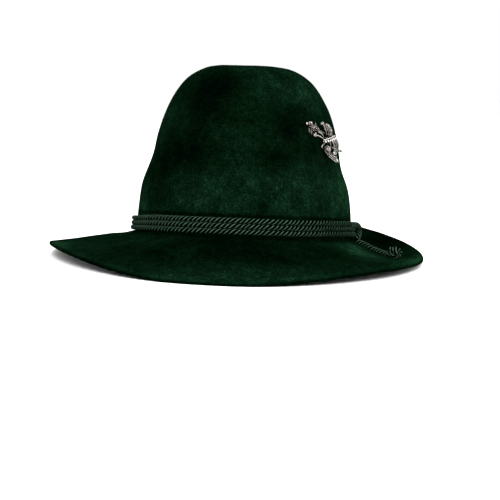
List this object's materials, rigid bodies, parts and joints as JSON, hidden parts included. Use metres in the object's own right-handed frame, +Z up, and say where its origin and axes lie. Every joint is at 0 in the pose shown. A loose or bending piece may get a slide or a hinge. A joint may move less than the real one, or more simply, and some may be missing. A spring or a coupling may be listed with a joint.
{
  "type": "fedora hat",
  "caption": "Alpine velour-felt fedora with a dented crown, dipped front brim, twisted cord band with a knotted tail, and a cast floral brooch.",
  "frame": {"origin": "on the surface that the hat stands on, under the middle of its outline", "axes": "-Y is the hat's front, +X the wearer's left, +Z up; the hat leans back 5.85 degrees as it rests on its brim"},
  "size_m": [0.3042, 0.3264, 0.1567],
  "materials": {
    "velour_felt": "velour fur felt, dark bottle green, brushed nap",
    "twisted_cord": "three-ply twisted rayon cord, dark green with a soft sheen",
    "oxidised_silver": "cast and oxidised silver, bright on the high places",
    "plain_steel": "plain nickel-plated steel"
  },
  "bodies": {
    "root": {"felt_body": "velour_felt", "band_cord_lower": "twisted_cord", "band_cord_middle": "twisted_cord", "band_cord_upper": "twisted_cord", "cord_wrap": "twisted_cord", "cord_tail": "twisted_cord", "tail_knot": "twisted_cord", "brooch": "oxidised_silver", "brooch_post": "plain_steel"}
  },
  "joints": []
}
